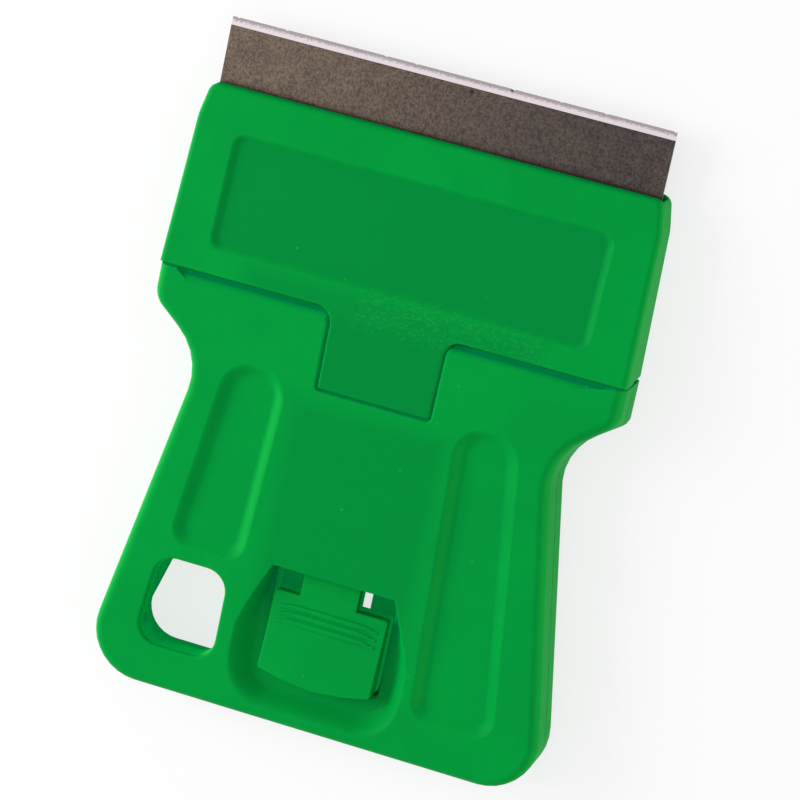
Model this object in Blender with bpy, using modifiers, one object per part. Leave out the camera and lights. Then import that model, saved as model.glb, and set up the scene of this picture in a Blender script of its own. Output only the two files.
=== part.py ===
# Pocket scraper for glass: a two-shell handle that carries a single-edge blade, a sleeve
# that slides up over the cutting edge, and a press pad in the handle's finger scoop that
# lets the sleeve go. It lies on its back: X is the width, Y runs from the foot of the
# handle to the cutting edge, and Z rises from the back to the front. All sizes are metres.
import math
from functools import partial

import bmesh
import bpy
from mathutils import Matrix, Vector

# Overall sizes
THICKNESS = 0.0056
HANDLE_LENGTH = 0.03633
GUARD_LENGTH = 0.01527
BLADE_EXPOSURE = 0.00556

# Blade and its folded backing
BLADE_WIDTH = 0.0381
BLADE_HEIGHT = 0.01905
BLADE_THICKNESS = 0.00023
BEVEL_HEIGHT = 0.00073
EDGE_LAND = 0.00003
BACKING_HEIGHT = 0.0052
BACKING_THICKNESS = 0.001
BACKING_SHEET = 0.00032
BACKING_FOLD = 0.0003
NOTCH_WIDTH = 0.0024
NOTCH_DEPTH = 0.0018
NOTCH_DROP = 0.0106

# Fits between pieces
RUNNING_FIT = 0.0002
SEAT_FIT = 0.0001
PARTING_GAP = 0.0001
STOP_GAP = 0.00015
OVERRUN = 0.001

# Blade guard: the sleeve, its name panel left bare, its tongue and its tail
GUARD_BACK_WALL = 0.0009
GUARD_FRONT_WALL = 0.0011
GUARD_SIDE_WALL = 0.0007
GUARD_FLARE = 0.00035
GUARD_CORNER = 0.0009
GUARD_LIP_INSET = 0.0005
GUARD_LIP_DROP = 0.0027
GUARD_LIP_ROUND = 0.005
GUARD_EDGE = 0.0005
PANEL_WIDTH = 0.0324
PANEL_HEIGHT = 0.0093
PANEL_RISE = 0.00233
PANEL_DEPTH = 0.0004
PANEL_CORNER = 0.0009
PANEL_SPREAD = 0.0009
TONGUE_WIDTH = 0.00965
TONGUE_FLARE = 0.0001
TONGUE_LENGTH = 0.00686
TONGUE_ROOT = 0.0014
TONGUE_CORNER = 0.00015
TONGUE_GAP = 0.00022
TAIL_LENGTH = 0.0059
FORK_DEPTH = 0.002

# Handle outline
SEAM_GAP = 0.0002
SHOULDER_INSET = 0.0001
SHOULDER_HEIGHT = 0.003
SHOULDER_ROUND = 0.002
WAIST_INSET = 0.00498
WAIST_DROP = 0.0071
WAIST_ROUND = 0.0055
FOOT_FLARE = 0.0004
FOOT_CORNER = 0.0044
HANDLE_EDGE = 0.0009
SEAM_RELIEF_LEFT_INSET = 0.0016
SEAM_RELIEF_LEFT_TAPER = 0.0013
SEAM_RELIEF_RIGHT_INSET = 0.0009
SEAM_RELIEF_RIGHT_TAPER = 0.004
SEAM_RELIEF_HEIGHT = 0.00095
SEAM_RELIEF_DEPTH = 0.0012

# Handle walls and inner form
PARTING_LEVEL = 0.0026
FRONT_SKIN = 0.001
BACK_WALL = 0.0012
RIM_WALL = 0.0017
RAIL_WALL = 0.0016
POST_WIDTH = 0.0026
PIN_WIDTH = 0.0011
PIN_HEIGHT = 0.0008
POST_DROP = 0.0094
POST_FOOT_RISE = 0.00305
CORE_LIP_GAP = 0.00107
CLAMP_REACH = 0.0084
CLAMP_SIDE_INSET = 0.0002

# Grip flutes beside the middle panel
FLUTE_DEPTH = 0.0007
FLUTE_SPREAD = 0.0014
FLUTE_TOP_DROP = 0.0069
FLUTE_FOOT_RISE = 0.00453
FLUTE_INNER_MARGIN = 0.0028
FLUTE_INNER_FLARE = 0.0013
FLUTE_TOP_WALL = 0.003
FLUTE_FOOT_WALL = 0.0043
FLUTE_TOP_ROUND = 0.0022
FLUTE_FOOT_ROUND = 0.0012
FLUTE_HOLE_WALL = 0.00175

# Hanging hole in the lower left corner, wider behind the rim that shows from the front
HOLE_FOOT_RISE = 0.00378
HOLE_HEIGHT = 0.0079
HOLE_SCOOP_WALL = 0.0019
HOLE_TOP_WALL = 0.0032
HOLE_FOOT_WALL = 0.0039
HOLE_ROUND = 0.0019
HOLE_BACK_MARGIN = 0.0009
HOLE_RIM = 0.0021

# Finger scoop round the press pad, measured out from the pad
SCOOP_FOOT_RISE = 0.00188
SCOOP_HEIGHT = 0.01182
SCOOP_TOP_MARGIN = 0.0004
SCOOP_SIDE_MARGIN = 0.00215
SCOOP_SIDE_DROP = 0.006
SCOOP_FOOT_MARGIN = 0.0016
SCOOP_DEPTH = 0.0017
SCOOP_SPREAD = 0.0018
SCOOP_SIDE_ROUND = 0.008
SCOOP_FOOT_ROUND = 0.003

# Hollows with soft walls: how far their rims are drawn out above the face
DISH_LIFT = 0.00003

# Release latch: a leaf arm under the front skin, a neck and the press pad
ARM_WIDTH = 0.0048
ARM_OFFSET = -0.00035
ARM_THICKNESS = 0.001
NECK_WIDTH = 0.005
NECK_REACH = 0.0026
NECK_DIP = 0.00012
PAD_WIDTH = 0.01
PAD_FOOT_RISE = 0.00457
PAD_HEIGHT = 0.0068
PAD_BOW = 0.001
PAD_BOW_RADIUS = 0.018
PAD_CORNER = 0.0003
PAD_DIP = 0.00105
PAD_SKIRT = 0.003
PAD_EDGE = 0.0002
PAD_RIB_HEIGHT = 0.00007
PAD_RIB_WIDTH = 0.00025
PAD_RIB_PITCH = 0.00065
PAD_RIB_COUNT = 3
PAD_RIB_DROP = 0.0012
WINDOW_MARGIN = 0.00035
BACK_SLOT_WIDTH = 0.005
BACK_SLOT_LENGTH = 0.0068

# Facets: steps in a quarter turn of an outline, in a rounded edge and down a soft wall
ARC_STEPS = 8
EDGE_STEPS = 4
DISH_STEPS = 7

# Tolerances of the mesh: points that are one point, and the angles of flat and sharp edges
WELD = 0.000001
FLAT_ANGLE = math.radians(0.05)
SHARP_ANGLE = math.radians(30)

# Places that follow from the sizes above. Heights are measured from the back plane, and
# lengths along Y from the seam between guard and handle.
SEAM_Y = (HANDLE_LENGTH - GUARD_LENGTH - BLADE_EXPOSURE) / 2
CORE_BOTTOM = GUARD_BACK_WALL + RUNNING_FIT
CORE_TOP = PARTING_LEVEL - BLADE_THICKNESS - 2 * SEAT_FIT
BLADE_BOTTOM = CORE_TOP + SEAT_FIT
BLADE_TOP = BLADE_BOTTOM + BLADE_THICKNESS
BLADE_MIDDLE = BLADE_BOTTOM + BLADE_THICKNESS / 2
BACKING_BOTTOM = BLADE_MIDDLE - BACKING_THICKNESS / 2
BACKING_TOP = BLADE_MIDDLE + BACKING_THICKNESS / 2
EDGE_Y = GUARD_LENGTH + BLADE_EXPOSURE
SPINE_Y = EDGE_Y - BLADE_HEIGHT
LIP_TOP = BLADE_TOP + RUNNING_FIT + GUARD_FRONT_WALL
WEDGE_SLOPE = (THICKNESS - LIP_TOP) / GUARD_LENGTH
SLEEVE_HALF = BLADE_WIDTH / 2 + RUNNING_FIT
LIP_HALF = SLEEVE_HALF + GUARD_SIDE_WALL
SEAM_HALF = LIP_HALF + GUARD_FLARE
TAIL_BOTTOM = BACKING_TOP + RUNNING_FIT
TAIL_TOP = THICKNESS - FRONT_SKIN - RUNNING_FIT
TAIL_Y = -TONGUE_LENGTH - TAIL_LENGTH
FORK_Y = TAIL_Y + FORK_DEPTH
ARM_END_Y = FORK_Y - STOP_GAP
ARM_BOTTOM = TAIL_TOP - ARM_THICKNESS
HINGE_Y = ARM_END_Y - ARM_THICKNESS / 2
HINGE_Z = TAIL_TOP - ARM_THICKNESS / 2
CHANNEL_HALF = PAD_WIDTH / 2 + RUNNING_FIT
TAIL_HALF = CHANNEL_HALF - 2 * RUNNING_FIT
TONGUE_SPREAD = TONGUE_WIDTH / 2 + TONGUE_FLARE + TONGUE_ROOT
PAD_FOOT_Y = PAD_FOOT_RISE - HANDLE_LENGTH
PAD_TOP_Y = PAD_FOOT_Y + PAD_HEIGHT
CAVITY_FOOT_Y = PAD_FOOT_Y - PAD_BOW - WINDOW_MARGIN
SCOOP_TOP_Y = SCOOP_FOOT_RISE + SCOOP_HEIGHT - HANDLE_LENGTH
SCOOP_SIDE_HALF = PAD_WIDTH / 2 + SCOOP_SIDE_MARGIN
HOLE_TOP_Y = HOLE_FOOT_RISE + HOLE_HEIGHT - HANDLE_LENGTH
SHOULDER_HALF = SEAM_HALF - SHOULDER_INSET
WAIST_HALF = SEAM_HALF - WAIST_INSET
FOOT_HALF = SEAM_HALF + FOOT_FLARE
SIDE_SLOPE = (FOOT_HALF - WAIST_HALF) / (HANDLE_LENGTH - WAIST_DROP)

for old in list(bpy.data.objects):
    bpy.data.objects.remove(old, do_unlink=True)

parts = bpy.data.collections.new("pocket_scraper")
cutters = bpy.data.collections.new("cutters")
bpy.context.scene.collection.children.link(parts)
bpy.context.scene.collection.children.link(cutters)

# The seam between guard and handle is the datum that every piece is placed from.
seam = bpy.data.objects.new("seam_datum", None)
seam.location = (0, SEAM_Y, 0)
parts.objects.link(seam)


def finish(name, colour, roughness, metallic):
    """A plain Principled material."""
    material = bpy.data.materials.new(name)
    material.use_nodes = True
    shader = material.node_tree.nodes["Principled BSDF"]
    shader.inputs["Base Color"].default_value = (*colour, 1)
    shader.inputs["Roughness"].default_value = roughness
    shader.inputs["Metallic"].default_value = metallic
    return material


def corner_turns(corners):
    """How far a closed outline turns at each of its corners."""
    turns = []
    for index, (x, y, radius) in enumerate(corners):
        here = Vector((x, y))
        before = Vector(corners[index - 1][:2]) - here
        after = Vector(corners[(index + 1) % len(corners)][:2]) - here
        turns.append(math.pi - before.angle(after))
    return turns


def arc_steps(corners):
    """How many steps each corner's arc gets; none at a sharp corner."""
    steps = []
    for (x, y, radius), turn in zip(corners, corner_turns(corners)):
        steps.append(max(2, round(ARC_STEPS * turn / (math.pi / 2))) if radius > 0 and turn > 0 else 0)
    return steps


def rounded(corners, counts=None):
    """Points of a closed outline whose corners (x, y, radius) are rounded by arcs."""
    points = []
    counts = counts or arc_steps(corners)
    turns = corner_turns(corners)
    for index, (x, y, radius) in enumerate(corners):
        here = Vector((x, y))
        before = Vector(corners[index - 1][:2]) - here
        after = Vector(corners[(index + 1) % len(corners)][:2]) - here
        turn = turns[index]
        steps = counts[index]
        if not steps:
            points.append(here)
            continue
        room = min(before.length, after.length) / 2
        tangent = min(radius * math.tan(turn / 2), room)
        radius = tangent / math.tan(turn / 2)
        middle = (before.normalized() + after.normalized()).normalized()
        centre = here + middle * math.hypot(radius, tangent)
        start = here + before.normalized() * tangent - centre
        side = 1 if before.cross(after) > 0 else -1
        for step in range(steps + 1):
            spin = Matrix.Rotation(-side * turn * step / steps, 2)
            points.append(centre + spin @ start)
    return points


def mirrored(right):
    """A whole outline from the corners of its right half, listed from the top down."""
    return right + [(-x, y, radius) for x, y, radius in reversed(right)]


def box_corners(left, right, foot, top, radius=0.0):
    """Corners of an upright rectangle."""
    return [(right, top, radius), (right, foot, radius), (left, foot, radius), (left, top, radius)]


def plate(name, corners, low, high, home=parts):
    """A flat outline filled and raised from low to high, as a mesh measured from the seam."""
    curve = bpy.data.curves.new(name, "CURVE")
    curve.dimensions = "2D"
    curve.fill_mode = "BOTH"
    curve.extrude = (high - low) / 2
    points = rounded(corners)
    spline = curve.splines.new("POLY")
    spline.points.add(len(points) - 1)
    for slot, point in zip(spline.points, points):
        slot.co = (point.x, point.y, 0, 1)
    spline.use_cyclic_u = True
    drawing = bpy.data.objects.new(name + "_drawing", curve)
    drawing.location = (0, 0, (low + high) / 2)
    home.objects.link(drawing)
    bpy.context.view_layer.update()
    mesh = bpy.data.meshes.new_from_object(drawing.evaluated_get(bpy.context.evaluated_depsgraph_get()))
    mesh.transform(drawing.matrix_world)
    bpy.data.objects.remove(drawing)
    shape = bmesh.new()
    shape.from_mesh(mesh)
    bmesh.ops.remove_doubles(shape, verts=shape.verts, dist=WELD)
    bmesh.ops.dissolve_limit(shape, angle_limit=FLAT_ANGLE, verts=shape.verts, edges=shape.edges)
    bmesh.ops.recalc_face_normals(shape, faces=shape.faces)
    shape.to_mesh(mesh)
    shape.free()
    mesh.name = name
    piece = bpy.data.objects.new(name, mesh)
    piece.parent = seam
    home.objects.link(piece)
    return piece


def guide(piece):
    """Marks a shape that only cuts or joins others."""
    piece.hide_render = True
    piece.display_type = "WIRE"
    return piece


def cutter(name, corners, low, high):
    """A plate that only cuts or joins others."""
    return guide(plate(name, corners, low, high, cutters))


def post(name, width, low, high, x, y):
    """An upright round post or hole."""
    shape = bmesh.new()
    bmesh.ops.create_cone(shape, cap_ends=True, segments=4 * ARC_STEPS, radius1=width / 2,
                          radius2=width / 2, depth=high - low)
    mesh = bpy.data.meshes.new(name)
    shape.to_mesh(mesh)
    shape.free()
    mesh.transform(Matrix.Translation((x, y, (low + high) / 2)))
    piece = bpy.data.objects.new(name, mesh)
    piece.parent = seam
    cutters.objects.link(piece)
    return guide(piece)


def dish(name, outline, depth, spread):
    """A hollow's cutter whose wall eases out of the floor and into the face, over a spread."""
    rings = []
    counts = arc_steps(outline(0))
    for step in range(DISH_STEPS + 1):
        share = step / DISH_STEPS
        ease = (1 + math.cos(math.pi * share)) / 2
        height = THICKNESS + DISH_LIFT - (depth + DISH_LIFT) * ease
        rings.append((rounded(outline(spread * share - spread / 2), counts), height))
    rings.append((rings[-1][0], THICKNESS + OVERRUN))
    shape = bmesh.new()
    loops = [[shape.verts.new((point.x, point.y, height)) for point in ring] for ring, height in rings]
    for lower, upper in zip(loops, loops[1:]):
        for index in range(len(lower)):
            shape.faces.new((lower[index - 1], lower[index], upper[index], upper[index - 1]))
    bmesh.ops.triangulate(shape, faces=shape.faces)
    shape.faces.new(loops[0])
    shape.faces.new(loops[-1])
    bmesh.ops.recalc_face_normals(shape, faces=shape.faces)
    mesh = bpy.data.meshes.new(name)
    shape.to_mesh(mesh)
    shape.free()
    tool = bpy.data.objects.new(name, mesh)
    tool.parent = seam
    cutters.objects.link(tool)
    return guide(tool)


def apply_all(piece):
    """Turns the piece's modifiers into plain mesh, for the edges that are rounded next."""
    bpy.context.view_layer.update()
    graph = bpy.context.evaluated_depsgraph_get()
    mesh = bpy.data.meshes.new_from_object(piece.evaluated_get(graph))
    mesh.name = piece.name
    piece.modifiers.clear()
    piece.data = mesh


def cut(piece, tool, operation="DIFFERENCE"):
    """A live Boolean."""
    change = piece.modifiers.new(tool.name, "BOOLEAN")
    change.operation = operation
    change.solver = "EXACT"
    change.object = tool


def round_edges(piece, width, chosen, steps=EDGE_STEPS):
    """A live Bevel on the sharp edges whose two ends, taken together, pass the test."""
    shape = bmesh.new()
    shape.from_mesh(piece.data)
    weight = shape.edges.layers.float.get("bevel_weight_edge")
    weight = weight or shape.edges.layers.float.new("bevel_weight_edge")
    for edge in shape.edges:
        sharp = edge.calc_face_angle(0) > SHARP_ANGLE
        edge[weight] = 1 if sharp and chosen(edge.verts[0].co, edge.verts[1].co) else 0
    shape.to_mesh(piece.data)
    shape.free()
    bevel = piece.modifiers.new("rounded edges", "BEVEL")
    bevel.limit_method = "WEIGHT"
    bevel.width = width
    bevel.segments = steps
    bevel.use_clamp_overlap = True


def slice_across(piece, lines):
    """Cuts the piece's faces along lines across it, so that its surface can bend there."""
    shape = bmesh.new()
    shape.from_mesh(piece.data)
    for y in lines:
        every = shape.verts[:] + shape.edges[:] + shape.faces[:]
        bmesh.ops.bisect_plane(shape, geom=every, dist=WELD, plane_co=(0, y, 0), plane_no=(0, 1, 0))
    shape.to_mesh(piece.data)
    shape.free()


def lean(piece, above):
    """Lowers what lies above a height along the guard's wedge, from the seam to the lip."""
    for corner in piece.data.vertices:
        if corner.co.z > above:
            corner.co.z -= WEDGE_SLOPE * max(0, corner.co.y)


def dress(piece, material):
    """Gives the piece its material and a smooth surface with crisp corners."""
    piece.data.materials.clear()
    piece.data.materials.append(material)
    piece.data.shade_smooth()
    piece.data.set_sharp_from_angle(angle=SHARP_ANGLE)


def handle_outline():
    """Shoulders as wide as the guard, a waist, and sides that flare to a rounded foot."""
    top = -SEAM_GAP
    return mirrored([
        (SHOULDER_HALF, top, 0),
        (SHOULDER_HALF, top - SHOULDER_HEIGHT, SHOULDER_ROUND),
        (WAIST_HALF, -WAIST_DROP, WAIST_ROUND),
        (FOOT_HALF, -HANDLE_LENGTH, FOOT_CORNER),
    ])


def handle_rim(one, two):
    """True of an edge that lies flat and isn't the straight one along the seam."""
    return abs(one.z - two.z) < WELD and min(one.y, two.y) < -SEAM_GAP - WELD


def side_at(y):
    """Half width of the flared part of the handle."""
    return WAIST_HALF + SIDE_SLOPE * (-WAIST_DROP - y)


def tongue_corners(gap, base):
    """Right half of the guard's tongue and its flared root, grown by a gap, below a base line."""
    foot = TONGUE_WIDTH / 2 + gap
    return [
        (foot + TONGUE_FLARE, base, TONGUE_ROOT - gap),
        (foot, -TONGUE_LENGTH - gap, TONGUE_CORNER + gap),
    ]


def flute_outline(side, foot, gap):
    """A long groove beside the middle panel, round at its head, down to a foot, grown by a gap."""
    top = -FLUTE_TOP_DROP
    share = (top - foot) / (HANDLE_LENGTH - FLUTE_TOP_DROP - FLUTE_FOOT_RISE)
    inner_top = PAD_WIDTH / 2 + FLUTE_INNER_MARGIN
    inner_foot = inner_top + FLUTE_INNER_FLARE * share
    outer_top = side_at(top) - FLUTE_TOP_WALL
    outer_foot = side_at(foot) - FLUTE_TOP_WALL - (FLUTE_FOOT_WALL - FLUTE_TOP_WALL) * share
    return [
        (side * (inner_top - gap), top + gap, FLUTE_TOP_ROUND + gap),
        (side * (outer_top + gap), top + gap, FLUTE_TOP_ROUND + gap),
        (side * (outer_foot + gap), foot - gap, FLUTE_FOOT_ROUND + gap),
        (side * (inner_foot - gap), foot - gap, FLUTE_FOOT_ROUND + gap),
    ]


def hole_outline(gap):
    """The hanging hole, grown by a gap."""
    inner = SCOOP_SIDE_HALF + HOLE_SCOOP_WALL - gap
    foot = HOLE_TOP_Y - HOLE_HEIGHT
    return [
        (-inner, HOLE_TOP_Y + gap, HOLE_ROUND + gap),
        (-inner, foot - gap, HOLE_ROUND + gap),
        (HOLE_FOOT_WALL - side_at(foot) - gap, foot - gap, HOLE_ROUND + gap),
        (HOLE_TOP_WALL - side_at(HOLE_TOP_Y) - gap, HOLE_TOP_Y + gap, HOLE_ROUND + gap),
    ]


def scoop_outline(gap):
    """The finger scoop: narrow and sharp at the window's edge, full round the pad and its foot."""
    half = PAD_WIDTH / 2 + gap
    foot = SCOOP_TOP_Y - SCOOP_HEIGHT - gap
    return mirrored([
        (PAD_WIDTH / 2 + SCOOP_TOP_MARGIN, SCOOP_TOP_Y, 0),
        (half + SCOOP_SIDE_MARGIN, SCOOP_TOP_Y - SCOOP_SIDE_DROP, SCOOP_SIDE_ROUND),
        (half + SCOOP_FOOT_MARGIN, foot, SCOOP_FOOT_ROUND + gap),
    ])


def panel_outline(gap):
    """The guard's sunk panel, grown by a gap."""
    half = PANEL_WIDTH / 2 + gap
    return box_corners(-half, half, PANEL_RISE - gap, PANEL_RISE + PANEL_HEIGHT + gap, PANEL_CORNER + gap)


def pad_outline(gap, top):
    """The press pad with its bowed lower edge, grown by a gap."""
    half = PAD_WIDTH / 2 + gap
    return [
        (half, top, PAD_CORNER),
        (half, PAD_FOOT_Y - gap, PAD_CORNER + gap),
        (0, PAD_FOOT_Y - PAD_BOW - gap, PAD_BOW_RADIUS),
        (-half, PAD_FOOT_Y - gap, PAD_CORNER + gap),
        (-half, top, PAD_CORNER),
    ]


def latch_outline():
    """The press pad with the neck that leads to the leaf arm."""
    right = ARM_OFFSET + NECK_WIDTH / 2
    left = ARM_OFFSET - NECK_WIDTH / 2
    end = PAD_TOP_Y + NECK_REACH
    start = [(right, end, 0), (right, PAD_TOP_Y, 0)]
    finish = [(left, PAD_TOP_Y, 0), (left, end, 0)]
    return start + pad_outline(0, PAD_TOP_Y) + finish


def pad_face(y):
    """Height of the pad's face, which dips from its foot up to the neck, and of the neck's face."""
    dip = PAD_DIP * (min(y, PAD_TOP_Y) - PAD_FOOT_Y + PAD_BOW) / (PAD_HEIGHT + PAD_BOW)
    return THICKNESS - dip - NECK_DIP * max(0, y - PAD_TOP_Y) / NECK_REACH


def pocket_outline(side, foot):
    """The hollow between the outer rim and the wall beside the scoop."""
    inner = SCOOP_SIDE_HALF + RAIL_WALL
    return [
        (side * inner, -WAIST_DROP, PAD_CORNER),
        (side * (side_at(-WAIST_DROP) - RIM_WALL), -WAIST_DROP, WAIST_ROUND / 2),
        (side * (side_at(foot) - RIM_WALL), foot, PAD_CORNER),
        (side * inner, foot, PAD_CORNER),
    ]


def pocket_feet():
    """Where the two hollows end: above the hanging hole on the left, low on the right."""
    return {-1: HOLE_TOP_Y + HOLE_BACK_MARGIN + RIM_WALL, 1: -HANDLE_LENGTH + RIM_WALL + FOOT_CORNER}


def flute_feet():
    """Where the two flutes end: above the hanging hole on the left, low on the right."""
    return {-1: HOLE_TOP_Y + FLUTE_HOLE_WALL, 1: -HANDLE_LENGTH + FLUTE_FOOT_RISE}


def post_places():
    """The four posts that join the shells, in the middle of the hollows' width."""
    inner = SCOOP_SIDE_HALF + RAIL_WALL
    rows = (-POST_DROP, pocket_feet()[-1] + POST_FOOT_RISE)
    return [(side * (inner + side_at(y) - RIM_WALL) / 2, y) for side in (-1, 1) for y in rows]


def front_shell(material):
    """The front half of the handle, with the grip's form and the window for the pad."""
    low = PARTING_LEVEL + PARTING_GAP / 2
    shell = plate("handle_front_shell", handle_outline(), low, THICKNESS)
    round_edges(shell, HANDLE_EDGE, lambda one, two: handle_rim(one, two) and one.z > low + WELD)
    inner_roof = THICKNESS - FLUTE_DEPTH - FRONT_SKIN
    for side, foot in pocket_feet().items():
        outline = pocket_outline(side, foot)
        cut(shell, cutter("front_pocket", outline, low - OVERRUN, inner_roof))
    for x, y in post_places():
        cut(shell, post("front_post", POST_WIDTH, low, inner_roof + FRONT_SKIN / 2, x, y), "UNION")
        socket_top = low + PIN_HEIGHT + SEAT_FIT
        cut(shell, post("pin_socket", PIN_WIDTH + 2 * SEAT_FIT, low - OVERRUN, socket_top, x, y))
    channel = box_corners(-CHANNEL_HALF, CHANNEL_HALF, (PAD_TOP_Y + PAD_FOOT_Y) / 2, OVERRUN)
    cut(shell, cutter("front_channel", channel, low - OVERRUN, THICKNESS - FRONT_SKIN))
    reach = TONGUE_SPREAD + TONGUE_ROOT
    notch = mirrored([(reach, OVERRUN, 0), (reach, -SEAM_GAP, 0)] + tongue_corners(TONGUE_GAP, -SEAM_GAP))
    cut(shell, cutter("tongue_notch", notch, low - OVERRUN, THICKNESS + OVERRUN))
    cut(shell, seam_relief())
    cut(shell, dish("finger_scoop", scoop_outline, SCOOP_DEPTH, SCOOP_SPREAD))
    window = pad_outline(WINDOW_MARGIN, SCOOP_TOP_Y - SEAT_FIT)
    cut(shell, cutter("pad_window", window, low - OVERRUN, THICKNESS + OVERRUN))
    for side, foot in flute_feet().items():
        flute = partial(flute_outline, side, foot)
        cut(shell, dish("grip_flute", flute, FLUTE_DEPTH, FLUTE_SPREAD))
    cut(shell, cutter("front_hang_hole", hole_outline(0), low - OVERRUN, THICKNESS + OVERRUN))
    cut(shell, cutter("hole_rebate", hole_outline(HOLE_BACK_MARGIN), low - OVERRUN, THICKNESS - HOLE_RIM))
    for side in (-1, 1):
        cut(shell, clamp_plate(side), "UNION")
    cut(shell, spine_room(low - OVERRUN, BACKING_TOP + SEAT_FIT))
    dress(shell, material)
    return shell


def seam_relief():
    """Rounds off the handle's front edge along the seam, tapering off short of its sides."""
    foot = -SEAM_GAP - SEAM_RELIEF_HEIGHT
    top = OVERRUN - SEAM_GAP
    left = SEAM_RELIEF_LEFT_INSET + SEAM_RELIEF_LEFT_TAPER - SEAM_HALF
    right = SEAM_HALF - SEAM_RELIEF_RIGHT_INSET - SEAM_RELIEF_RIGHT_TAPER
    growth = (top - foot) / SEAM_RELIEF_HEIGHT
    corners = [(right + SEAM_RELIEF_RIGHT_TAPER * growth, top, 0), (right, foot, 0),
               (left, foot, 0), (left - SEAM_RELIEF_LEFT_TAPER * growth, top, 0)]
    relief = cutter("seam_relief", corners, THICKNESS, THICKNESS + OVERRUN)
    slice_across(relief, [foot + SEAM_RELIEF_HEIGHT * step / EDGE_STEPS for step in range(1, EDGE_STEPS + 1)])
    for corner in relief.data.vertices:
        share = min(1, (corner.co.y - foot) / SEAM_RELIEF_HEIGHT)
        corner.co.z -= SEAM_RELIEF_DEPTH * (1 - math.sqrt(1 - share * share))
    return relief


def spine_room(low, high):
    """Room round the folded backing, cut through whatever reaches into it."""
    half = BLADE_WIDTH / 2 + RUNNING_FIT
    foot = SPINE_Y - SEAT_FIT - BACKING_SHEET
    top = SPINE_Y + BACKING_HEIGHT + SEAT_FIT
    return cutter("spine_room", box_corners(-half, half, foot, top), low, high)


def clamp_plate(side):
    """A finger of the front shell that holds the blade down inside the guard's sleeve."""
    inner = TONGUE_SPREAD + RUNNING_FIT
    outer = SLEEVE_HALF - RUNNING_FIT - CLAMP_SIDE_INSET
    bottom = BLADE_TOP + SEAT_FIT
    corners = box_corners(inner, outer, -SEAM_GAP - SHOULDER_HEIGHT / 2, CLAMP_REACH)
    finger = cutter("clamp_finger", [(side * x, y, radius) for x, y, radius in corners],
                    bottom, THICKNESS - GUARD_FRONT_WALL - RUNNING_FIT)
    lean(finger, bottom + SEAT_FIT)
    return finger


def back_shell(material):
    """The back half of the handle, with the core that the blade lies on."""
    high = PARTING_LEVEL - PARTING_GAP / 2
    shell = plate("handle_back_shell", handle_outline(), 0, high)
    round_edges(shell, HANDLE_EDGE, lambda one, two: handle_rim(one, two) and one.z < high - WELD)
    for side, foot in pocket_feet().items():
        cut(shell, cutter("back_pocket", pocket_outline(side, foot), BACK_WALL, high + OVERRUN))
    for x, y in post_places():
        cut(shell, post("back_post", POST_WIDTH, BACK_WALL / 2, high, x, y), "UNION")
        cut(shell, post("locating_pin", PIN_WIDTH, BACK_WALL, high + PIN_HEIGHT, x, y), "UNION")
    channel = box_corners(-CHANNEL_HALF, CHANNEL_HALF, CAVITY_FOOT_Y, -SEAM_GAP - SHOULDER_HEIGHT)
    cut(shell, cutter("back_channel", channel, BACK_WALL, high + OVERRUN))
    slot_half = BACK_SLOT_WIDTH / 2
    slot_top = SCOOP_TOP_Y + WINDOW_MARGIN
    slot = box_corners(-slot_half, slot_half, slot_top - BACK_SLOT_LENGTH, slot_top, PAD_CORNER)
    cut(shell, cutter("back_slot", slot, -OVERRUN, high + OVERRUN))
    cut(shell, cutter("back_hang_hole", hole_outline(HOLE_BACK_MARGIN), -OVERRUN, high + OVERRUN))
    cut(shell, blade_core(), "UNION")
    cut(shell, spine_room(BACKING_BOTTOM - SEAT_FIT, high + OVERRUN))
    dress(shell, material)
    return shell


def blade_core():
    """The plate inside the sleeve: a bed for the folded backing and a nub for each notch."""
    half = SLEEVE_HALF - RUNNING_FIT
    foot = -SEAM_GAP - SHOULDER_HEIGHT / 2
    corners = box_corners(-half, half, foot, GUARD_LENGTH - CORE_LIP_GAP, GUARD_CORNER / 2)
    core = cutter("blade_core", corners, CORE_BOTTOM, CORE_TOP)
    notch_y = EDGE_Y - NOTCH_DROP
    nub = NOTCH_WIDTH / 2 - SEAT_FIT
    for side in (-1, 1):
        inner = BLADE_WIDTH / 2 - NOTCH_DEPTH + SEAT_FIT
        corners = box_corners(inner, half - CLAMP_SIDE_INSET, notch_y - nub, notch_y + nub, nub / 2)
        stud = cutter("notch_nub", [(side * x, y, radius) for x, y, radius in corners],
                      (CORE_BOTTOM + CORE_TOP) / 2, BLADE_TOP)
        cut(core, stud, "UNION")
    apply_all(core)
    return core


def blade_guard(material):
    """The sleeve over the blade, with the tongue and the forked tail that run in the handle."""
    sides = [
        (LIP_HALF - GUARD_LIP_INSET, GUARD_LENGTH, GUARD_CORNER),
        (LIP_HALF, GUARD_LENGTH - GUARD_LIP_DROP, GUARD_LIP_ROUND),
        (SEAM_HALF, 0, 0),
    ]
    guard = plate("blade_guard", mirrored(sides + tongue_corners(0, 0)), 0, THICKNESS)
    slice_across(guard, [0])
    lean(guard, BLADE_TOP)
    round_edges(guard, GUARD_EDGE, lambda one, two: max(one.y, two.y) > WELD)
    under = box_corners(-SEAM_HALF - OVERRUN, SEAM_HALF + OVERRUN, -TONGUE_LENGTH - OVERRUN, STOP_GAP)
    cut(guard, cutter("under_tongue", under, -OVERRUN, TAIL_BOTTOM))
    bore = box_corners(-SLEEVE_HALF, SLEEVE_HALF, -SEAT_FIT, GUARD_LENGTH + OVERRUN)
    sleeve = cutter("sleeve_bore", bore, GUARD_BACK_WALL, THICKNESS - GUARD_FRONT_WALL)
    lean(sleeve, BLADE_TOP)
    cut(guard, sleeve)
    panel = dish("panel_recess", panel_outline, PANEL_DEPTH, PANEL_SPREAD)
    lean(panel, 0)
    cut(guard, panel)
    cut(guard, forked_tail(), "UNION")
    dress(guard, material)
    return guard


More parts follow.
